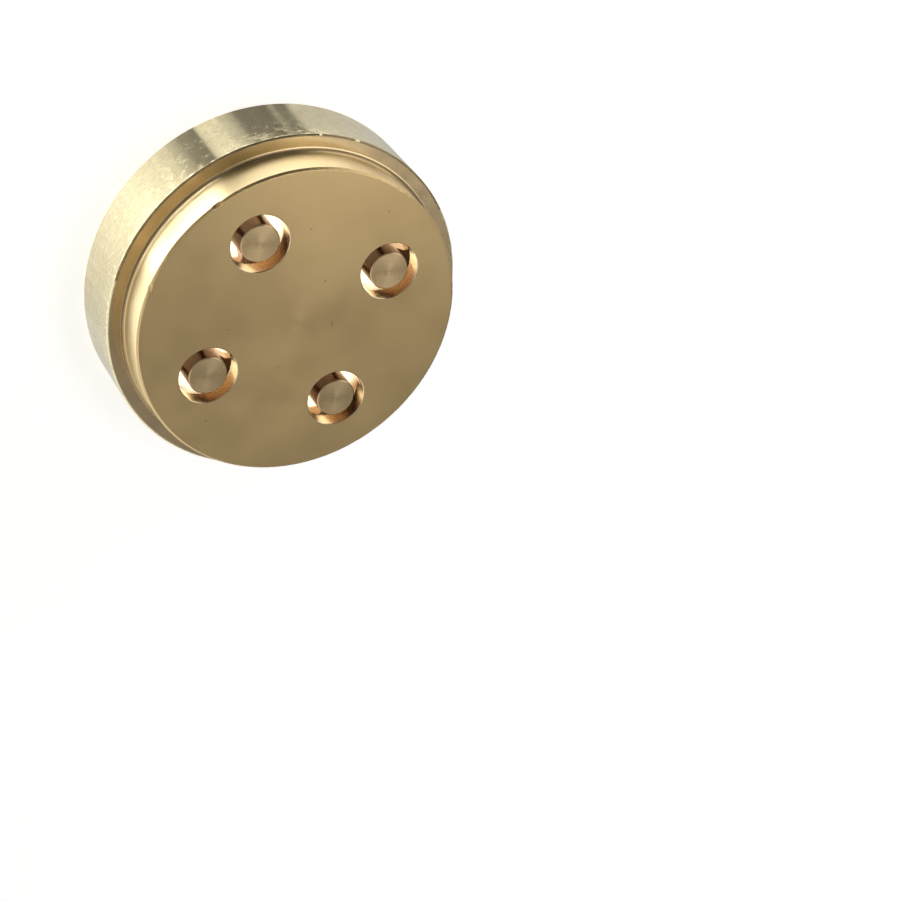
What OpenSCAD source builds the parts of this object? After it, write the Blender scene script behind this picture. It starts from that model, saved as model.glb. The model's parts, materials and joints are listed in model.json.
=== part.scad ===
/* [Flange] */
// Outside diameter of the flange that sits in the extruder head
flange_d = 51; // [49:0.5:60]
// Height of the flange, from the back face to the shoulder
flange_h = 10.6; // [9:0.1:14]
// Chamfer round the back edge of the flange
back_chamfer = 0.4; // [0.1:0.05:1]
// Edge break at the front of the flange, where the shoulder begins
shoulder_edge = 0.2; // [0.05:0.05:0.5]

/* [Boss] */
// Diameter of the raised front boss that passes through the ring nut
boss_d = 46.2; // [44:0.1:48.4]
// Height of the boss above the shoulder
boss_h = 5.4; // [4:0.1:8]
// Fillet radius where the boss wall meets the shoulder
root_fillet = 0.65; // [0.2:0.05:1]
// Chamfer round the front face
rim_chamfer = 0.3; // [0.1:0.05:0.8]

/* [Outlets] */
// Number of outlets, each with its own core pin
outlet_count = 4; // [1:1:5]
// Diameter of the circle that the outlets stand on
outlet_pcd = 28.6; // [26:0.2:31]
// Bore of an outlet at the front face
outlet_d = 8.4; // [7:0.1:10]
// Length of the straight land behind the front face
outlet_land = 2.6; // [1.5:0.1:4]
// Edge break at the mouth of an outlet
outlet_edge = 0.1; // [0.05:0.05:0.3]

/* [Feed holes] */
// Diameter of the chamber behind the land
chamber_d = 11.4; // [10.4:0.1:12.2]
// Angle between the throat cone and the axis, from the chamber to the land
throat_angle = 45; // [40:1:60]
// Diameter of the counterbore that takes the legs of a core pin
seat_d = 13; // [12.2:0.1:14]
// Depth of the leg seat, measured from the back face
seat_depth = 8.5; // [7:0.1:9]
// Chamfer at the mouth of the counterbore
mouth_chamfer = 0.5; // [0.1:0.1:1]

/* [Core pins] */
// Diameter of the core that stands in an outlet
core_d = 5.6; // [4:0.1:6]
// Edge break at the front end of the core
core_edge = 0.15; // [0.05:0.05:0.4]
// Diameter of the hub that the legs grow from
hub_d = 6.4; // [6:0.1:8]
// Length of the cone from the hub down to the core
hub_taper = 2; // [0.5:0.1:4]
// Length of the nose cone at the back end of the hub
nose_h = 1.4; // [0.5:0.1:2.5]
// Diameter of the flat at the tip of the nose
nose_d = 2.6; // [0.5:0.1:4]
// Number of legs on a core pin
leg_count = 3; // [2:1:4]
// Width of a leg where it rests on the seat
leg_w = 2.2; // [1.2:0.1:3]
// Height of a leg along the axis
leg_h = 4; // [3:0.1:5]
// Width of the blunt edge of a leg that parts the flow
leg_edge_w = 0.8; // [0.4:0.1:1.2]
// Length of the wedge that narrows a leg to that edge
leg_wedge = 1.8; // [0.5:0.1:2.5]
// Turn of the legs on the third and later core pins, to one side and the other in turn
far_leg_turn = 50; // [0:5:60]
// Radial clearance between the leg tips and the counterbore
seat_clearance = 0.02; // [0:0.01:0.1]

/* [Hidden] */
$fn = 96;
// Overshoot of a cutter past the face that it opens
cut = 1;
die_brass = [0.70, 0.59, 0.39];
core_brass = [0.74, 0.62, 0.44];

flange_r = flange_d / 2;
boss_r = boss_d / 2;
die_h = flange_h + boss_h;
outlet_r = outlet_d / 2;
chamber_r = chamber_d / 2;
seat_r = seat_d / 2;
core_r = core_d / 2;
hub_r = hub_d / 2;
// Where the land begins, seen from the back face
land_z = die_h - outlet_land;
// Where the chamber begins to close in towards the land
throat_z = land_z - (chamber_r - outlet_r) / tan(throat_angle);
// Where the legs and the nose of a core pin begin
leg_z = seat_depth - leg_h;

// Turn of the legs on core pin i: the first two pins point a leg away from the die's axis
function leg_turn(i) = i < 2 ? 0 : (i % 2 == 0 ? -far_leg_turn : far_leg_turn);

// Places what follows on outlet i, turned so that +X points away from the die's axis
module at_outlet(i) {
    rotate(i * 360 / outlet_count)
        translate([outlet_pcd / 2, 0, 0])
            children();
}

// Half section of the turned blank: flange, shoulder, filleted root, boss and chamfers
module blank_section() {
    polygon([
        [0, 0],
        [flange_r - back_chamfer, 0],
        [flange_r, back_chamfer],
        [flange_r, flange_h - shoulder_edge],
        [flange_r - shoulder_edge, flange_h],
        [boss_r, flange_h],
        [boss_r, die_h - rim_chamfer],
        [boss_r - rim_chamfer, die_h],
        [0, die_h]
    ]);
    difference() {
        translate([boss_r, flange_h])
            square(root_fillet);
        translate([boss_r + root_fillet, flange_h + root_fillet])
            circle(root_fillet);
    }
}

// Half section of a stepped feed hole, from the counterbore at the back to the outlet's mouth
module feed_hole_section() {
    polygon([
        [0, -cut],
        [seat_r + mouth_chamfer + cut, -cut],
        [seat_r, mouth_chamfer],
        [seat_r, seat_depth],
        [chamber_r, seat_depth],
        [chamber_r, throat_z],
        [outlet_r, land_z],
        [outlet_r, die_h - outlet_edge],
        [outlet_r + outlet_edge + cut, die_h + cut],
        [0, die_h + cut]
    ]);
}

// Half section of a core pin without its legs: nose, hub, cone and core, flush with the front face
module core_section() {
    polygon([
        [0, leg_z],
        [nose_d / 2, leg_z],
        [hub_r, leg_z + nose_h],
        [hub_r, seat_depth],
        [core_r, seat_depth + hub_taper],
        [core_r, die_h - core_edge],
        [core_r - core_edge, die_h],
        [0, die_h]
    ]);
}

// Cross-section of a leg: flat where it seats, narrowed to a blunt edge towards the flow
module leg_section() {
    polygon([
        [-leg_w / 2, seat_depth],
        [-leg_w / 2, leg_z + leg_wedge],
        [-leg_edge_w / 2, leg_z],
        [leg_edge_w / 2, leg_z],
        [leg_w / 2, leg_z + leg_wedge],
        [leg_w / 2, seat_depth]
    ]);
}

// The legs, cut to the round of the counterbore that holds them
module legs() {
    intersection() {
        for (i = [0:leg_count - 1])
            rotate(i * 360 / leg_count)
                rotate([90, 0, 90])
                    linear_extrude(seat_r)
                        leg_section();
        cylinder(h = die_h, r = seat_r - seat_clearance);
    }
}

module die_body() {
    color(die_brass)
        difference() {
            rotate_extrude()
                blank_section();
            for (i = [0:outlet_count - 1])
                at_outlet(i)
                    rotate_extrude()
                        feed_hole_section();
        }
}

module core_pin(i) {
    color(core_brass)
        at_outlet(i) {
            rotate_extrude()
                core_section();
            rotate(leg_turn(i))
                legs();
        }
}

die_body();
for (i = [0:outlet_count - 1])
    core_pin(i);
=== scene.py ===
import bmesh
import bpy
import json
import math
import random
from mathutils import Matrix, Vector

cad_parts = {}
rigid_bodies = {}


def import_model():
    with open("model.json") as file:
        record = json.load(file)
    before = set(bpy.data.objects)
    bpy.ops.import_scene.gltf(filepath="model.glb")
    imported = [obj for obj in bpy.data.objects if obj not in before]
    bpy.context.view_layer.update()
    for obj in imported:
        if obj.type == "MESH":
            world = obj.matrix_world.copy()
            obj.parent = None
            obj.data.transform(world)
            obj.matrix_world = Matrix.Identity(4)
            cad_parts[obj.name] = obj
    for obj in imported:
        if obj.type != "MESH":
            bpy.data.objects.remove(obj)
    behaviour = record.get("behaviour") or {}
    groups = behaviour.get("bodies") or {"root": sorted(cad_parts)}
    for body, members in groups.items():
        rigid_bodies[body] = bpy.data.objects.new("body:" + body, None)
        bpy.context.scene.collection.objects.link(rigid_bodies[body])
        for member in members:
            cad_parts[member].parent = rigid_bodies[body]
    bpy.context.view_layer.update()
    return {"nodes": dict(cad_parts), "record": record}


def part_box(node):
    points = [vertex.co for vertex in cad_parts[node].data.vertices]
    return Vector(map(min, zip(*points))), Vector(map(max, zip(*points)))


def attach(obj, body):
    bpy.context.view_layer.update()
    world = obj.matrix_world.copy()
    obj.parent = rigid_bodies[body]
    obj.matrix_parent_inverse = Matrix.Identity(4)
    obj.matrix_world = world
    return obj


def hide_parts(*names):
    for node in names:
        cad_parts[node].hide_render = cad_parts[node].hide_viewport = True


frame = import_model()
record = frame["record"]
scene = bpy.context.scene
scene.view_settings.view_transform = "Standard"
mm = 0.001
print("frame loaded:", sorted(frame["nodes"]))

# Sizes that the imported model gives, in metres
mounts = {mount["name"]: mount for mount in record["mounts"]}
dieLow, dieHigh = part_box("die_body")
flangeRadius = dieHigh.x
dieHeight = dieHigh.z
bossRadius = mounts["front_boss"]["dims"]["r_mm"] * mm
shoulderHeight = mounts["shoulder"]["pos_m"][2]
pocketLow, pocketHigh = record["physics"]["openings"][0]["box_m"]
outletCircle = (pocketLow[0] + pocketHigh[0]) / 2
pinNames = sorted(name for name in frame["nodes"] if name.startswith("core_pin_"))
outletAngles = [index * math.tau / len(pinNames) for index in range(len(pinNames))]


# Adds a node and fills its sockets, by link where the value is another node's output
def addNode(tree, kind, inputs=None, **settings):
    made = tree.nodes.new(kind)
    for name, value in settings.items():
        setattr(made, name, value)
    for name, value in (inputs or {}).items():
        if isinstance(value, bpy.types.NodeSocket):
            tree.links.new(value, made.inputs[name])
        else:
            made.inputs[name].default_value = value
    return made


def maths(tree, operation, first, second=0.0):
    return addNode(tree, "ShaderNodeMath", {0: first, 1: second}, operation=operation).outputs[0]


def vectorMaths(tree, operation, first, second=(0.0, 0.0, 0.0), out="Vector"):
    return addNode(tree, "ShaderNodeVectorMath", {0: first, 1: second}, operation=operation).outputs[out]


def addObject(name, mesh):
    made = bpy.data.objects.new(name, mesh)
    scene.collection.objects.link(made)
    return made


# Camera, at the photograph's viewing angle
cameraSetup = {
    "place": (0.03242, -0.19099, 0.28037),
    "turn": (-33.8866, -24.3682, 159.567),  # degrees
    "lens": 95.75,
    "sensor": 36.0,
    "near": 0.01,
    "far": 20.0,
}


def makeCamera(setup):
    lens = bpy.data.cameras.new("camera")
    lens.lens = setup["lens"]
    lens.sensor_width = setup["sensor"]
    lens.clip_start = setup["near"]
    lens.clip_end = setup["far"]
    camera = bpy.data.objects.new("camera", lens)
    camera.location = setup["place"]
    camera.rotation_euler = [math.radians(angle) for angle in setup["turn"]]
    scene.collection.objects.link(camera)
    scene.camera = camera


makeCamera(cameraSetup)
cameraAzimuth = math.degrees(math.atan2(cameraSetup["place"][1], cameraSetup["place"][0]))

# Light: azimuth is counted from +X towards +Y, glow is what a mirror would show
lampWatts = 4  # per square metre of panel, for a glow of 1
ceilingPanel = {"azimuth": 164, "elevation": 67, "far": 0.65, "width": 0.56, "height": 0.24, "glow": 1.42}
edgePanel = {"azimuth": -170, "elevation": 16, "far": 0.5, "width": 0.35, "height": 0.18, "glow": 0.8}
backPanel = {"azimuth": 0, "elevation": -90, "far": 0.2, "width": 0.16, "height": 0.16, "glow": 0.7}
# A card round the die, most of it under the floor, that only the metal mirrors; its columns give
# the azimuth, the glow low down and higher up, and the elevations where glow and card end
skirtCard = {
    "away": 0.4,
    "lowest": -74,
    "highest": 40,
    "higherUp": -21,
    "shade": 0.04,
    "columns": [
        (-270, 0.5, 0.5, 0, 40), (-220, 0.4, 0.4, 0, 40), (-219, 0.4, 0.4, 0, 0), (-207, 0.5, 0.5, 0, 0),
        (-186, 0.8, 0.8, 0, 0), (-176, 1.05, 0.9, 0, 0), (-159, 1.85, 1.0, 0, 0), (-158, 1.85, 1.0, -4, 0),
        (-144, 2.6, 1.0, -18, 0), (-143, 2.6, 1.0, -18, 36), (-122, 3.3, 3.3, -25, 36),
        (-112, 3.2, 3.2, -28, 36), (-101, 2.1, 2.1, -30, 36), (-92, 1.7, 1.7, -30, 36),
        (-91, 2.8, 1.0, 0, 0), (-34, 2.8, 1.0, 0, 0), (-28, 2.8, 1.0, 0, 0), (-12, 2.75, 1.0, 0, 0),
        (2, 2.4, 1.0, 0, 0), (22, 1.75, 1.0, 0, 0), (43, 1.15, 0.9, 0, 0), (60, 0.8, 0.8, 0, 0),
        (61, 0.8, 0.8, 0, 40), (90, 0.5, 0.5, 0, 40),
    ],
}
keyStrip = {"from": -91, "to": -34, "low": -30, "high": -5, "glow": 10}
# A ring-shaped card under the floor that only the rim mirrors: angle along the rim, glow
rimCard = {
    "depth": 0.5,
    "reach": 9.6,
    "mostLean": 70,
    "steps": 360,
    "seed": 3,
    "streak": 0.07,
    "bands": [
        (-205, 0.5), (-165, 0.5), (-150, 0.56), (-140, 0.6), (-122.5, 0.58), (-121.5, 0.22), (-117.5, 0.22),
        (-117, 0.4), (-115.5, 0.36), (-115, 0.18), (-105, 0.2), (-103, 0.45), (-100, 0.62), (-98, 0.85),
        (-93, 0.85), (-92, 0.8), (-91, 0.2), (-86, 0.28), (-79, 0.85), (-70, 1.1), (-64, 1.22), (-56, 1.15),
        (-50, 1.0), (-40, 0.86), (-25, 0.7), (0, 0.64), (40, 0.64), (60, 0.3), (75, 0.3), (90, 0.66),
        (155, 0.72),
    ],
}
# The grey room before and above the white backdrop, for the metal to mirror: azimuth, lowest elevation
roomCard = {
    "away": 1.2,
    "highest": 89,
    "rows": 14,
    "step": 5,
    "glow": 0.305,
    "columns": [
        (-270, 34), (-230, 34), (-220, 2), (-150, 2), (-130, 20), (-110, 10), (-50, 10), (-30, 30), (90, 34),
    ],
}
surroundings = {"table": 0.5, "room": 0.305, "backdrop": 1.0, "blend": 0.06, "mirrorBounces": 10}
floorSetup = {"radius": 3.0, "segments": 96, "colour": (0.8, 0.8, 0.79), "lift": 0.64}


def direction(azimuth, elevation):
    flat = math.cos(math.radians(elevation))
    return Vector((
        flat * math.cos(math.radians(azimuth)),
        flat * math.sin(math.radians(azimuth)),
        math.sin(math.radians(elevation)),
    ))


def addPanel(name, place, facing, width, height, glow):
    light = bpy.data.lights.new(name, "AREA")
    light.shape = "RECTANGLE"
    light.size = width
    light.size_y = height
    light.energy = lampWatts * width * height * glow
    panel = bpy.data.objects.new(name, light)
    panel.location = place
    panel.rotation_euler = facing.to_track_quat("-Z", "Y").to_euler()
    panel.visible_camera = False
    panel.visible_diffuse = place.z > 0  # what is under the floor is for the metal alone
    scene.collection.objects.link(panel)


def addTiltedPanel(name, setup):
    away = direction(setup["azimuth"], setup["elevation"])
    addPanel(name, away * setup["far"], -away, setup["width"], setup["height"], setup["glow"])


def glowPaint(name):
    paint = bpy.data.materials.new(name)
    paint.use_nodes = True
    tree = paint.node_tree
    tree.nodes.clear()
    glow = addNode(tree, "ShaderNodeAttribute", attribute_name="glow").outputs["Fac"]
    light = addNode(tree, "ShaderNodeEmission", {"Color": (1, 1, 1, 1), "Strength": glow})
    addNode(tree, "ShaderNodeOutputMaterial", {"Surface": light.outputs[0]})
    return paint


# A card that the metal mirrors and that lights nothing else
def addCard(name, points, faces, glows):
    mesh = bpy.data.meshes.new(name)
    mesh.from_pydata(points, [], faces)
    attribute = mesh.attributes.new("glow", "FLOAT", "POINT")
    attribute.data.foreach_set("value", glows)
    mesh.materials.append(glowPaint(name + "Glow"))
    card = addObject(name, mesh)
    card.visible_camera = False
    card.visible_diffuse = False
    card.visible_shadow = False


def between(columns, azimuth):
    for start, end in zip(columns, columns[1:]):
        if start[0] <= azimuth <= end[0]:
            share = (azimuth - start[0]) / (end[0] - start[0])
            return [low + (high - low) * share for low, high in zip(start[1:], end[1:])]
    return list(columns[-1][1:])


def makeSkirtCard(setup, strip):
    columns = setup["columns"]
    points, glows, faces = [], [], []
    rows = range(setup["lowest"], setup["highest"] + 1)
    azimuths = range(columns[0][0], columns[-1][0])
    for azimuth in azimuths:
        low, high, top, head = between(columns, azimuth)
        for row in rows:
            elevation = min(row, head)
            away = direction(azimuth, 0) * setup["away"]
            points.append(away + Vector((0, 0, setup["away"] * math.tan(math.radians(elevation)))))
            inStrip = strip["from"] <= azimuth <= strip["to"] and strip["low"] <= elevation <= strip["high"]
            if inStrip:
                glows.append(strip["glow"])
            elif elevation > top:
                glows.append(setup["shade"])
            else:
                glows.append(low if elevation < setup["higherUp"] else high)
    for column in range(len(azimuths)):
        following = (column + 1) % len(azimuths)
        for row in range(len(rows) - 1):
            this, other = column * len(rows) + row, following * len(rows) + row
            if points[this + 1].z > points[this].z or points[other + 1].z > points[other].z:
                faces.append((this, other, other + 1, this + 1))
    addCard("skirtCard", points, faces, glows)


# Leans the card towards what the rim shows to the camera
def makeRimCard(setup):
    bands, steps, most = setup["bands"], setup["steps"], setup["mostLean"]
    dice = random.Random(setup["seed"])
    drop = Vector((0, 0, -setup["depth"] * mm))
    points, glows, faces = [], [], []
    for index in range(steps):
        angle = bands[0][0] + 360 * index / steps
        lean = max(-most, min(most, angle - cameraAzimuth if angle < cameraAzimuth + 180 else 0))
        wall = direction(angle, 0) * flangeRadius
        out = direction(angle + lean, 0)
        points += [wall + drop, wall + out * setup["reach"] * mm + drop]
        streak = 1 + setup["streak"] * dice.uniform(-1, 1)
        glows += [between(bands, angle)[0] * streak] * 2
        following = (index + 1) % steps
        faces.append((2 * index, 2 * following, 2 * following + 1, 2 * index + 1))
    addCard("rimCard", points, faces, glows)


def makeRoomCard(setup):
    columns, rows = setup["columns"], setup["rows"]
    points, faces = [], []
    azimuths = range(columns[0][0], columns[-1][0], setup["step"])
    for azimuth in azimuths:
        low = between(columns, azimuth)[0]
        for row in range(rows):
            elevation = low + (setup["highest"] - low) * row / (rows - 1)
            points.append(direction(azimuth, elevation) * setup["away"])
    for column in range(len(azimuths)):
        following = (column + 1) % len(azimuths)
        for row in range(rows - 1):
            this, other = column * rows + row, following * rows + row
            faces.append((this, other, other + 1, this + 1))
    addCard("roomCard", points, faces, [setup["glow"]] * len(points))


def makeWorld(setup):
    world = bpy.data.worlds.new("surroundings")
    world.use_nodes = True
    scene.world = world
    scene.cycles.glossy_bounces = setup["mirrorBounces"]
    tree = world.node_tree
    tree.nodes.clear()
    heading = addNode(tree, "ShaderNodeTexCoord").outputs["Generated"]
    height = addNode(tree, "ShaderNodeSeparateXYZ", {0: heading}).outputs["Z"]
    glow = addNode(tree, "ShaderNodeMapRange", {
        "Value": height,
        "From Min": -setup["blend"],
        "From Max": setup["blend"],
        "To Min": setup["table"],
        "To Max": setup["room"],
    }).outputs[0]
    around = addNode(tree, "ShaderNodeBackground", {"Color": (1, 1, 1, 1), "Strength": glow})
    white = addNode(tree, "ShaderNodeBackground", {"Color": (1, 1, 1, 1), "Strength": setup["backdrop"]})
    path = addNode(tree, "ShaderNodeLightPath").outputs
    mirrored = maths(tree, "MAXIMUM", path["Is Glossy Ray"], path["Is Transmission Ray"])
    seen = maths(tree, "MAXIMUM", path["Is Camera Ray"], mirrored)
    mixed = addNode(tree, "ShaderNodeMixShader", {0: seen, 1: around.outputs[0], 2: white.outputs[0]})
    addNode(tree, "ShaderNodeOutputWorld", {"Surface": mixed.outputs[0]})


def makeFloor(setup):
    paint = bpy.data.materials.new("paleFloor")
    paint.use_nodes = True
    tree = paint.node_tree
    tree.nodes.clear()
    matte = addNode(tree, "ShaderNodeBsdfDiffuse", {"Color": (*setup["colour"], 1)})
    seen = addNode(tree, "ShaderNodeLightPath").outputs["Is Camera Ray"]
    lift = maths(tree, "MULTIPLY", seen, setup["lift"])
    glow = addNode(tree, "ShaderNodeEmission", {"Color": (1, 1, 1, 1), "Strength": lift})
    both = addNode(tree, "ShaderNodeAddShader", {0: matte.outputs[0], 1: glow.outputs[0]})
    addNode(tree, "ShaderNodeOutputMaterial", {"Surface": both.outputs[0]})
    paint.cycles.emission_sampling = "NONE"
    shape = bmesh.new()
    bmesh.ops.create_circle(shape, cap_ends=True, segments=setup["segments"], radius=setup["radius"])
    mesh = bpy.data.meshes.new("floor")
    shape.to_mesh(mesh)
    shape.free()
    mesh.materials.append(paint)
    floor = addObject("floor", mesh)
    floor.visible_glossy = False  # the metal sees cards and backdrop below the horizon instead
    floor.visible_shadow = False


def makeLight():
    makeWorld(surroundings)
    makeFloor(floorSetup)
    makeRimCard(rimCard)
    addTiltedPanel("ceilingPanel", ceilingPanel)
    addTiltedPanel("backPanel", backPanel)
    addTiltedPanel("edgePanel", edgePanel)
    makeSkirtCard(skirtCard, keyStrip)
    makeRoomCard(roomCard)


makeLight()
print("camera, floor and light made")

# Finishes: sizes in mm, tones linear; a scratch layer has the stretch and turn (degrees) of its noise,
# how fine its lines are, their depth, and how dull they look and how far they darken towards the stain tone
faceFinish = {
    "tone": (0.70, 0.51, 0.245),
    "brown": (0.68, 0.485, 0.23),
    "stain": (0.26, 0.17, 0.08),
    "roughness": (0.28, 0.37),
    "anisotropy": 0.2,
    "linePitch": 0.7,
    "lineDepth": 0.00012,
    "lineGloss": 0.1,
    "patch": 6.0,
    "waves": [],
    "grain": 0.0006,
    "scratches": [],
}
shoulderFinish = {
    "tone": (0.69, 0.525, 0.30),
    "brown": (0.64, 0.475, 0.265),
    "roughness": (0.19, 0.24),
    "anisotropy": 0.2,
    "linePitch": 0.4,
    "lineDepth": 0.0004,
    "lineGloss": 0.3,
    "patch": 4.0,
    "waves": [(2.0, 0.002)],
    "grain": 0.001,
    "scratches": [],
}
bossFinish = {
    "tone": (0.88, 0.73, 0.43),
    "brown": (0.85, 0.68, 0.38),
    "stain": (0.45, 0.34, 0.17),
    "roughness": (0.28, 0.34),
    "anisotropy": 0.9,
    "linePitch": 0.35,
    "lineDepth": 0.001,
    "lineGloss": 0.6,
    "patch": 5.0,
    "waves": [(2.0, 0.003)],
    "grain": 0.0008,
    "scratches": [
        {"size": (2.5, 2.5, 0.5), "turn": (0, 0, 0), "fine": 0.02, "depth": 0.002, "dull": 0.4, "shade": 0.1},
    ],
}
hairScratch = {"fine": 0.03, "depth": 0.0025, "dull": 0.28, "shade": 0.3}
rimFinish = {
    "tone": (0.92, 0.81, 0.50),
    "brown": (0.89, 0.77, 0.46),
    "stain": (0.42, 0.36, 0.22),
    "roughness": (0.10, 0.16),
    "anisotropy": 0.5,
    "linePitch": 0.5,
    "lineDepth": 0.0005,
    "lineGloss": 0.4,
    "patch": 6.0,
    "waves": [(2.2, 0.007), (0.6, 0.0015)],
    "grain": 0.001,
    "scratches": [
        {"size": (2.6, 2.6, 0.3), "turn": (0, 0, 0), **hairScratch},
        {"size": (1.8, 1.8, 0.25), "turn": (25, 25, 0), **hairScratch},
        {"size": (1.8, 1.8, 0.25), "turn": (-35, -35, 0), **hairScratch},
    ],
}
boreFinish = {
    "tone": (0.76, 0.63, 0.42),
    "brown": (0.68, 0.53, 0.33),
    "roughness": (0.16, 0.24),
    "anisotropy": 0.5,
    "linePitch": 0.25,
    "lineDepth": 0.0015,
    "lineGloss": 0.5,
    "patch": 3.0,
    "waves": [(2.0, 0.004)],
    "grain": 0.002,
    "scratches": [],
}
coreFinish = {
    "tone": (0.70, 0.52, 0.285),
    "brown": (0.66, 0.475, 0.25),
    # painted shade: the pins' sides, down in the holes, take this darker tone
    "shadedSideTone": (0.42, 0.275, 0.165),
    "roughness": (0.26, 0.32),
    "anisotropy": 0.4,
    "linePitch": 0.3,
    "lineDepth": 0.0004,
    "lineGloss": 0.3,
    "patch": 2.0,
    "waves": [(2.0, 0.001)],
    "grain": 0.0004,
    "scratches": [],
}
# Painted shade: a dark brown tone on the flange's front chamfer paints the dark line that edge shows in this
# view, in place of a reflection
shadedEdgeFinish = {
    "tone": (0.36, 0.28, 0.15),
    "brown": (0.28, 0.21, 0.11),
    "roughness": (0.35, 0.45),
    "anisotropy": 0.0,
    "linePitch": 0.3,
    "lineDepth": 0.0004,
    "lineGloss": 0.3,
    "patch": 1.0,
    "waves": [],
    "grain": 0.001,
    "scratches": [],
}
# Painted shade: a dark tone for the middle of the root fillet between shoulder and boss, where shade falls in
# the crease
creaseShadeFinish = {
    "tone": (0.46, 0.33, 0.17),
    "brown": (0.38, 0.26, 0.13),
    "roughness": (0.30, 0.38),
    "anisotropy": 0.0,
    "linePitch": 0.3,
    "lineDepth": 0.0004,
    "lineGloss": 0.3,
    "patch": 3.0,
    "waves": [],
    "grain": 0.001,
    "scratches": [],
}
# Small dark marks on the front face: x, y, length, width, direction in degrees
faceMarks = {
    "core": 0.5,
    "rim": 1.1,
    "stain": 0.55,
    "depth": 0.01,
    "marks": [
        (-4.0, 3.0, 1.1, 0.22, 60), (-5.7, -3.9, 0.45, 0.3, 10), (-17.6, -8.5, 0.5, 0.3, 80),
        (9.3, -5.0, 0.4, 0.3, 0), (5.3, 4.6, 0.4, 0.25, 35), (9.3, 7.9, 0.45, 0.25, 120),
        (17.5, 6.4, 0.45, 0.3, 60), (-7.0, -12.3, 0.4, 0.3, 20),
    ],
}
# What all the finishes share
brassPattern = {
    "patchDetail": 4.0,
    "contrast": (0.35, 0.65),
    "lineDetail": 1.5,
    "grainScale": 3.0,
    "grainDetail": 3.0,
    "waveDetail": 1.0,
    "scratchDetail": 1.5,
    "gatherScale": 0.8,
    "gatherDetail": 2.0,
    "gather": (0.3, 0.6),
    "frontDepth": 0.1,
    "acrossLines": 0.25,  # a quarter turn
}
noiseMiddle = 0.5


def noise(tree, field, scale, detail):
    made = addNode(tree, "ShaderNodeTexNoise", {"Vector": field, "Scale": scale, "Detail": detail})
    return made.outputs["Fac"]


def spread(tree, value, low, high, start=0.0, end=1.0):
    return addNode(tree, "ShaderNodeMapRange", {
        "Value": value,
        "From Min": low,
        "From Max": high,
        "To Min": start,
        "To Max": end,
    }).outputs[0]


def blend(tree, share, first, second):
    colours = [(*tone, 1) if isinstance(tone, tuple) else tone for tone in (first, second)]
    made = addNode(tree, "ShaderNodeMix", {0: share, 6: colours[0], 7: colours[1]}, data_type="RGBA")
    return made.outputs[2]


# Scratches lie where a stretched noise crosses its middle, and a broader noise thins them out
def scratchLines(tree, place, scratch, pattern):
    field = addNode(tree, "ShaderNodeMapping", {
        "Vector": place,
        "Rotation": [math.radians(angle) for angle in scratch["turn"]],
        "Scale": scratch["size"],
    }, vector_type="TEXTURE").outputs[0]
    wander = noise(tree, field, 1.0, pattern["scratchDetail"])
    off = maths(tree, "ABSOLUTE", maths(tree, "SUBTRACT", wander, noiseMiddle))
    lines = spread(tree, off, scratch["fine"] / 2, scratch["fine"], 1.0, 0.0)
    broad = noise(tree, place, pattern["gatherScale"], pattern["gatherDetail"])
    return maths(tree, "MULTIPLY", lines, spread(tree, broad, *pattern["gather"]))


def markSpots(tree, place, setup):
    spots = 0.0
    for x, y, length, width, turn in setup["marks"]:
        near = addNode(tree, "ShaderNodeMapping", {
            "Vector": place,
            "Location": (x, y, dieHeight / mm),
            "Rotation": (0, 0, math.radians(turn)),
            "Scale": (length / 2, width / 2, 1),
        }, vector_type="TEXTURE").outputs[0]
        off = vectorMaths(tree, "LENGTH", near, out="Value")
        spot = spread(tree, off, setup["core"], setup["rim"], 1.0, 0.0)
        spots = maths(tree, "MAXIMUM", spot, spots)
    return spots


# Adds one more layer of relief on top of what the surface already has
def relief(tree, height, depth, below=None):
    inputs = {"Strength": 1.0, "Distance": depth * mm, "Height": height}
    if below is not None:
        inputs["Normal"] = below
    return addNode(tree, "ShaderNodeBump", inputs).outputs[0]


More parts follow.
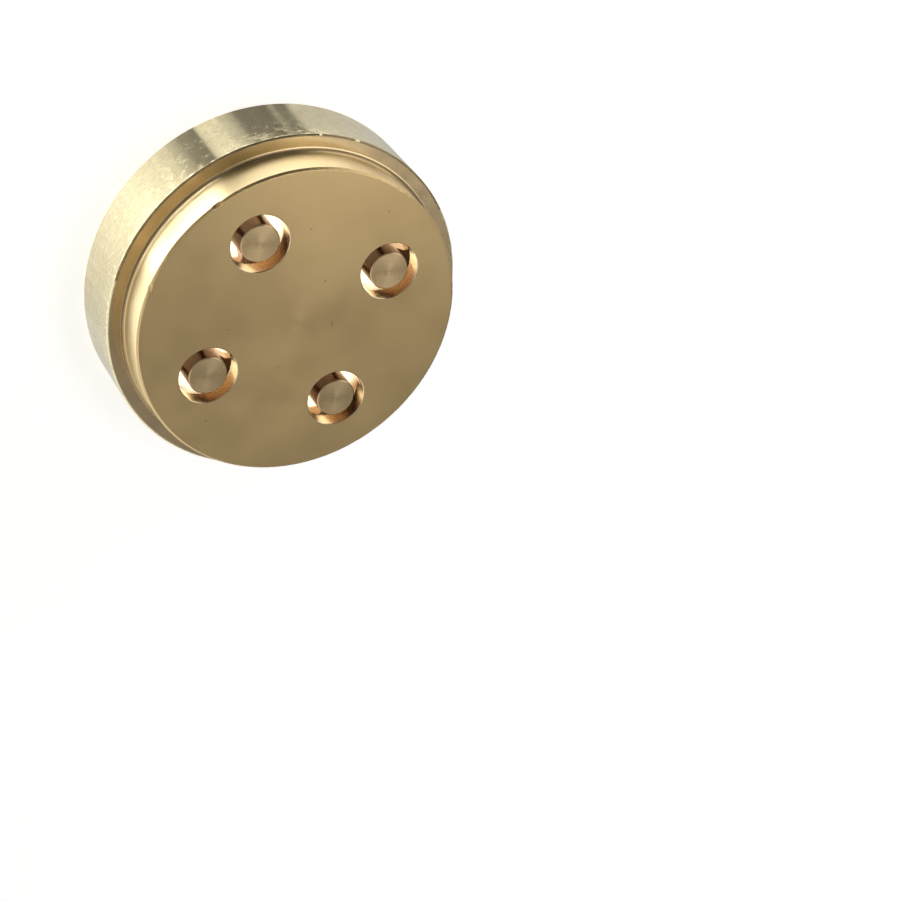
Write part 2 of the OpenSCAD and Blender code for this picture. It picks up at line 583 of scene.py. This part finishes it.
# Brass off the lathe: patches of two tones, turned lines, scratches, and gloss drawn out across those lines
def turnedBrass(name, finish, centre=(0.0, 0.0), marks=None):
    pattern = brassPattern
    brass = bpy.data.materials.new(name)
    brass.use_nodes = True
    tree = brass.node_tree
    tree.nodes.clear()
    coordinates = addNode(tree, "ShaderNodeTexCoord").outputs["Object"]
    place = addNode(tree, "ShaderNodeMapping", {
        "Vector": coordinates,
        "Location": (-centre[0] / mm, -centre[1] / mm, 0),
        "Scale": (1 / mm, 1 / mm, 1 / mm),
    }).outputs[0]
    flat = vectorMaths(tree, "MULTIPLY", place, (1, 1, 0))
    radius = vectorMaths(tree, "LENGTH", flat, out="Value")
    height = addNode(tree, "ShaderNodeSeparateXYZ", {0: place}).outputs["Z"]
    along = maths(tree, "ADD", radius, height)
    around = vectorMaths(tree, "NORMALIZE", vectorMaths(tree, "CROSS_PRODUCT", (0, 0, 1), flat))

    patches = noise(tree, place, 1 / finish["patch"], pattern["patchDetail"])
    tone = blend(tree, spread(tree, patches, *pattern["contrast"]), finish["brown"], finish["tone"])
    # Painted shade: below its front face a pin's side takes the darker side tone, as the hole shades it
    if "shadedSideTone" in finish:
        front = maths(tree, "GREATER_THAN", height, (dieHeight - pattern["frontDepth"] * mm) / mm)
        tone = blend(tree, front, finish["shadedSideTone"], tone)
    lines = addNode(tree, "ShaderNodeTexNoise", {
        "W": maths(tree, "DIVIDE", along, finish["linePitch"]),
        "Scale": 1.0,
        "Detail": pattern["lineDetail"],
    }, noise_dimensions="1D").outputs["Fac"]
    fine = maths(tree, "MULTIPLY", maths(tree, "SUBTRACT", lines, noiseMiddle), finish["lineGloss"])
    gloss = spread(tree, maths(tree, "ADD", patches, fine), *pattern["contrast"], *finish["roughness"])
    surface = relief(tree, lines, finish["lineDepth"])
    grain = noise(tree, place, pattern["grainScale"], pattern["grainDetail"])
    surface = relief(tree, grain, finish["grain"], surface)
    for length, depth in finish["waves"]:
        surface = relief(tree, noise(tree, place, 1 / length, pattern["waveDetail"]), depth, surface)
    for scratch in finish["scratches"]:
        cut = scratchLines(tree, place, scratch, pattern)
        surface = relief(tree, maths(tree, "SUBTRACT", 1.0, cut), scratch["depth"], surface)
        gloss = maths(tree, "MAXIMUM", gloss, maths(tree, "MULTIPLY", cut, scratch["dull"]))
        tone = blend(tree, maths(tree, "MULTIPLY", cut, scratch["shade"]), tone, finish["stain"])
    if marks:
        spots = markSpots(tree, place, marks)
        tone = blend(tree, maths(tree, "MULTIPLY", spots, marks["stain"]), tone, finish["stain"])
        surface = relief(tree, maths(tree, "SUBTRACT", 1.0, spots), marks["depth"], surface)
    shader = addNode(tree, "ShaderNodeBsdfPrincipled", {
        "Base Color": tone,
        "Metallic": 1.0,
        "Roughness": gloss,
        "Anisotropic": finish["anisotropy"],
        "Anisotropic Rotation": pattern["acrossLines"],
        "Tangent": around,
        "Normal": surface,
    })
    addNode(tree, "ShaderNodeOutputMaterial", {"Surface": shader.outputs[0]})
    return brass


bodyBrass = {
    "face": turnedBrass("satinFaceBrass", faceFinish, marks=faceMarks),
    "boss": turnedBrass("turnedBossBrass", bossFinish),
    "rim": turnedBrass("polishedRimBrass", rimFinish),
    "bore": turnedBrass("drilledBoreBrass", boreFinish),
    "shoulder": turnedBrass("turnedShoulderBrass", shoulderFinish),
    # The edge finish is painted shade along the flange's front chamfer, not wear
    "edge": turnedBrass("shadedEdgeBrass", shadedEdgeFinish),
    # The crease finish is painted shade in the root fillet, not a stain
    "crease": turnedBrass("shadedCreaseBrass", creaseShadeFinish),
}
brassOrder = list(bodyBrass)
print("finishes made")

# The turned body, in mm: what the lathe and the stepped drills leave
blank = {
    "backChamfer": 0.4,
    "shoulderEdge": 0.2,
    "rootFillet": 0.65,
    "rimChamfer": 0.3,
    "edgeRound": 0.05,
    "edgeSteps": 3,
    "filletSteps": 10,
    "segments": 960,
    "longStretch": 1.0,
    "supportGap": 0.06,
    "supportSpan": 0.18,
    "sharpAngle": 28,
    "flatLimit": 0.9999,
}
feedHole = {
    "outletRadius": 4.2,
    "outletLand": 2.6,
    "outletEdge": 0.1,
    "chamberRadius": 5.7,
    "seatRadius": 6.5,
    "seatDepth": 8.5,
    "mouthChamfer": 0.5,
    "throatRound": 0.15,
    "throatSteps": 3,
    "overshoot": 1.0,
    "segments": 160,
}
lathe = {"sweepRadius": 10.0, "weld": 0.001}


# Adds two points close to both ends of each long stretch, so that smooth shading stays within the corners
def withSupports(corners, setup):
    chain = []
    gap, span = setup["supportGap"], setup["supportSpan"]
    for start, end in zip(corners, corners[1:]):
        chain.append(start)
        stretch = Vector((end[0] - start[0], end[1] - start[1]))
        if stretch.length > setup["longStretch"]:
            first, last = start[2] + gap, stretch.length - end[2] - gap
            for reach in (first, first + span, last - span, last):
                point = Vector(start[:2]) + stretch.normalized() * reach
                chain.append((point.x, point.y, 0, 1))
    return chain + [corners[-1]]


# A half section as a chain of edges, with the rounding of each corner; the sweep turns its +Y to -Z
def makeSection(name, corners, sweepRadius):
    mesh = bpy.data.meshes.new(name)
    corners = withSupports(corners, blank)
    points = [(radius * mm - sweepRadius, -height * mm, 0) for radius, height, rounding, steps in corners]
    mesh.from_pydata(points, [(i, i + 1) for i in range(len(points) - 1)], [])
    rounding = mesh.attributes.new("cornerRound", "FLOAT", "POINT")
    steps = mesh.attributes.new("cornerSteps", "INT", "POINT")
    for index, corner in enumerate(corners):
        rounding.data[index].value = corner[2] * mm
        steps.data[index].value = corner[3]
    return addObject(name, mesh)


def blankCorners(setup):
    flange, boss, top, step = flangeRadius / mm, bossRadius / mm, dieHeight / mm, shoulderHeight / mm
    edge = (setup["edgeRound"], setup["edgeSteps"])
    return [
        (0, 0, 0, 1),
        (flange - setup["backChamfer"], 0, *edge),
        (flange, setup["backChamfer"], *edge),
        (flange, step - setup["shoulderEdge"], *edge),
        (flange - setup["shoulderEdge"], step, *edge),
        (boss, step, setup["rootFillet"], setup["filletSteps"]),
        (boss, top - setup["rimChamfer"], *edge),
        (boss - setup["rimChamfer"], top, *edge),
        (0, top, 0, 1),
    ]


def feedHoleCorners(setup):
    top, cut = dieHeight / mm, setup["overshoot"]
    landStart = top - setup["outletLand"]
    throatStart = landStart - (setup["chamberRadius"] - setup["outletRadius"])  # a 45 degree throat
    throat = (setup["throatRound"], setup["throatSteps"])
    return [
        (0, -cut, 0, 1),
        (setup["seatRadius"] + setup["mouthChamfer"] + cut, -cut, 0, 1),
        (setup["seatRadius"], setup["mouthChamfer"], 0, 1),
        (setup["seatRadius"], setup["seatDepth"], 0, 1),
        (setup["chamberRadius"], setup["seatDepth"], 0, 1),
        (setup["chamberRadius"], throatStart, *throat),
        (setup["outletRadius"], landStart, *throat),
        (setup["outletRadius"], top - setup["outletEdge"], 0, 1),
        (setup["outletRadius"] + setup["outletEdge"] + cut, top + cut, 0, 1),
        (0, top + cut, 0, 1),
    ]


# Sweeps a section round the axis and closes its poles
def addLathe(tree, section, segments, sweepRadius):
    chain = addNode(tree, "GeometryNodeMeshToCurve", {"Mesh": section}).outputs[0]
    rounding = addNode(tree, "GeometryNodeInputNamedAttribute", {"Name": "cornerRound"}, data_type="FLOAT")
    steps = addNode(tree, "GeometryNodeInputNamedAttribute", {"Name": "cornerSteps"}, data_type="INT")
    rounded = addNode(tree, "GeometryNodeFilletCurve", {
        "Curve": chain,
        "Count": steps.outputs["Attribute"],
        "Radius": rounding.outputs["Attribute"],
        "Limit Radius": True,
    }, mode="POLY").outputs[0]
    path = addNode(tree, "GeometryNodeCurvePrimitiveCircle", {
        "Resolution": segments,
        "Radius": sweepRadius,
    }).outputs[0]
    swept = addNode(tree, "GeometryNodeCurveToMesh", {"Curve": path, "Profile Curve": rounded}).outputs[0]
    closed = addNode(tree, "GeometryNodeMergeByDistance", {
        "Geometry": swept,
        "Distance": lathe["weld"] * mm,
    }).outputs[0]
    # The sweep leaves the faces inside out
    return addNode(tree, "GeometryNodeFlipFaces", {"Mesh": closed}).outputs[0]


def makeBodyTree():
    tree = bpy.data.node_groups.new("turnedAndDrilled", "GeometryNodeTree")
    sockets = [
        ("Blank Section", "NodeSocketGeometry"),
        ("Feed Hole Section", "NodeSocketObject"),
        ("Blank Segments", "NodeSocketInt"),
        ("Hole Segments", "NodeSocketInt"),
        ("Sweep Radius", "NodeSocketFloat"),
        ("Outlet Count", "NodeSocketInt"),
        ("Outlet Circle", "NodeSocketFloat"),
        ("Brass", "NodeSocketMaterial"),
    ]
    ids = {}
    for name, kind in sockets:
        ids[name] = tree.interface.new_socket(name=name, in_out="INPUT", socket_type=kind).identifier
    tree.interface.new_socket(name="Body", in_out="OUTPUT", socket_type="NodeSocketGeometry")
    given = addNode(tree, "NodeGroupInput").outputs
    turned = addLathe(tree, given["Blank Section"], given["Blank Segments"], given["Sweep Radius"])
    hole = addNode(tree, "GeometryNodeObjectInfo", {"Object": given["Feed Hole Section"]})
    drill = addLathe(tree, hole.outputs["Geometry"], given["Hole Segments"], given["Sweep Radius"])
    outlets = addNode(tree, "GeometryNodeMeshCircle", {
        "Vertices": given["Outlet Count"],
        "Radius": given["Outlet Circle"],
    }).outputs[0]
    drills = addNode(tree, "GeometryNodeInstanceOnPoints", {"Points": outlets, "Instance": drill}).outputs[0]
    solidDrills = addNode(tree, "GeometryNodeRealizeInstances", {"Geometry": drills}).outputs[0]
    drilled = addNode(tree, "GeometryNodeMeshBoolean", {
        "Mesh 1": turned,
        "Mesh 2": solidDrills,
    }, operation="DIFFERENCE", solver="EXACT").outputs[0]
    whole = addNode(tree, "GeometryNodeRealizeInstances", {"Geometry": drilled}).outputs[0]
    dressed = addNode(tree, "GeometryNodeSetMaterial", {"Geometry": whole, "Material": given["Brass"]})
    addNode(tree, "NodeGroupOutput", {"Body": dressed.outputs[0]})
    return tree, ids


def drillBlank():
    sweepRadius = lathe["sweepRadius"] * mm
    blankSection = makeSection("blankSection", blankCorners(blank), sweepRadius)
    holeSection = makeSection("feedHoleSection", feedHoleCorners(feedHole), sweepRadius)
    tree, ids = makeBodyTree()
    turning = blankSection.modifiers.new("turning", "NODES")
    turning.node_group = tree
    turning[ids["Feed Hole Section"]] = holeSection
    turning[ids["Blank Segments"]] = blank["segments"]
    turning[ids["Hole Segments"]] = feedHole["segments"]
    turning[ids["Sweep Radius"]] = sweepRadius
    turning[ids["Outlet Count"]] = len(pinNames)
    turning[ids["Outlet Circle"]] = outletCircle
    turning[ids["Brass"]] = bodyBrass["face"]
    evaluated = blankSection.evaluated_get(bpy.context.evaluated_depsgraph_get())
    mesh = bpy.data.meshes.new_from_object(evaluated)
    bpy.data.objects.remove(blankSection)
    bpy.data.objects.remove(holeSection)
    return mesh


# Wear along the two front edges, in mm: angle in degrees, width, depth; a burr is a nick that stands up
edgeWear = {
    "seed": 5,
    "margin": 0.05,
    "ripple": 0.025,
    "rippleCount": 5,
    "rippleTurns": (30, 190),
    "pressShare": 0.7,
    "smallNicks": 36,
    "smallWidth": (0.2, 0.5),
    "smallDepth": (0.01, 0.035),
    "bossNicks": [(-83, 0.8, 0.2), (-47, 0.6, 0.12)],
    "flangeNicks": [(-137, 0.35, -0.16), (-124, 0.3, -0.12)],
    # the span of angles where the flange's front chamfer gets the painted shade of the edge finish
    "shadedEdgeSpan": (-178, -42),
    "burrSpan": 1,
}
# How faces are told apart: distances in mm, tilts as the upward share of a face's normal
faceSorting = {
    "holeEnd": 1.0,
    "flatTilt": 0.9,
    "rimDepth": 0.3,
    "edgeTilt": 0.35,
    "wallSlack": 0.02,
    "stepSlack": 0.01,
    "creaseTilt": (0.55, 0.97),
}


def inFeedHole(centre):
    mouth = (feedHole["seatRadius"] + feedHole["mouthChamfer"]) * mm
    return any(
        math.hypot(centre.x - outletCircle * math.cos(a), centre.y - outletCircle * math.sin(a)) < mouth
        for a in outletAngles
    )


# Which finish a face gets, by where it lies on the body
def finishName(centre, normal, sorting):
    radius = math.hypot(centre.x, centre.y)
    end, slack = sorting["holeEnd"] * mm, sorting["stepSlack"] * mm
    steep = abs(normal.z) < sorting["flatTilt"]
    if inFeedHole(centre) and (steep or dieLow.z + end < centre.z < dieHeight - end):
        return "bore"
    if radius > flangeRadius - sorting["rimDepth"] * mm:
        angle = math.degrees(math.atan2(centre.y, centre.x))
        span = edgeWear["burrSpan"]
        burr = any(deep < 0 and abs(angle - place) < span for place, width, deep in edgeWear["flangeNicks"])
        # Chamfer faces within this span get the painted shade of the edge finish
        inShadedSpan = edgeWear["shadedEdgeSpan"][0] < angle < edgeWear["shadedEdgeSpan"][1]
        return "edge" if normal.z > sorting["edgeTilt"] and inShadedSpan and not burr else "rim"
    if shoulderHeight + slack < centre.z and radius > bossRadius - sorting["wallSlack"] * mm:
        # The fillet's middle facets get the painted shade of the crease finish
        low, high = sorting["creaseTilt"]
        inFillet = centre.z < shoulderHeight + blank["rootFillet"] * mm
        return "crease" if low < normal.z < high and inFillet else "boss"
    if radius > bossRadius and centre.z > shoulderHeight - slack:
        return "shoulder"
    return "face"


def nickDepth(nicks, angle, radius):
    depth = 0.0
    for place, width, deep in nicks:
        off = (angle - place + 180) % 360 - 180
        share = math.radians(off) * radius / mm / width
        depth += deep * max(0.0, 1 - share * share)
    return depth


# Presses the edge's corners in, never out, apart from the burrs on the shoulder
def wearEdge(shape, radius, height, chamfer, nicks, setup, dice):
    waves = []
    for count in range(setup["rippleCount"]):
        waves.append((dice.randrange(*setup["rippleTurns"]), dice.uniform(0, math.tau)))
    for count in range(setup["smallNicks"]):
        place, width = dice.uniform(-180, 180), dice.uniform(*setup["smallWidth"])
        nicks = nicks + [(place, width, dice.uniform(*setup["smallDepth"]))]
    for vertex in shape.verts:
        out = math.hypot(vertex.co.x, vertex.co.y)
        gap = math.hypot(out - radius, vertex.co.z - height) / mm
        if gap < chamfer + setup["margin"]:
            angle = math.atan2(vertex.co.y, vertex.co.x)
            swing = sum(math.sin(turns * angle + start) for turns, start in waves) / len(waves)
            press = setup["ripple"] * max(0.0, swing) + nickDepth(nicks, math.degrees(angle), radius)
            press *= mm * setup["pressShare"]
            vertex.co.z -= press
            if press > 0:
                vertex.co.x *= (out - press) / out
                vertex.co.y *= (out - press) / out


def makeDieBody():
    mesh = drillBlank()
    mesh.name = "turnedDieBody"
    shape = bmesh.new()
    shape.from_mesh(mesh)
    bmesh.ops.recalc_face_normals(shape, faces=shape.faces)
    wear = edgeWear
    dice = random.Random(wear["seed"])
    wearEdge(shape, bossRadius, dieHeight, blank["rimChamfer"], wear["bossNicks"], wear, dice)
    wearEdge(shape, flangeRadius, shoulderHeight, blank["shoulderEdge"], wear["flangeNicks"], wear, dice)
    shape.normal_update()
    for face in shape.faces:
        face.smooth = abs(face.normal.z) < blank["flatLimit"]
        finish = finishName(face.calc_center_median(), face.normal, faceSorting)
        face.material_index = brassOrder.index(finish)
    for edge in shape.edges:
        edge.smooth = edge.calc_face_angle(0) < math.radians(blank["sharpAngle"])
    mesh.materials.clear()  # before the faces' numbers are written, because it sets them all to 0
    for brass in bodyBrass.values():
        mesh.materials.append(brass)
    shape.to_mesh(mesh)
    shape.free()
    body = addObject("turned_die_body", mesh)
    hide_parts("die_body")
    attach(body, "root")
    print("die body:", len(mesh.polygons), "faces")


makeDieBody()


# The core pins keep their solids and get a finish centred on their own axis
def dressPins():
    for name, angle in zip(pinNames, outletAngles):
        centre = (outletCircle * math.cos(angle), outletCircle * math.sin(angle))
        pin = frame["nodes"][name]
        brass = turnedBrass(name + "Brass", coreFinish, centre)
        for slot in pin.material_slots:
            slot.material = brass


dressPins()
print("core pins dressed")
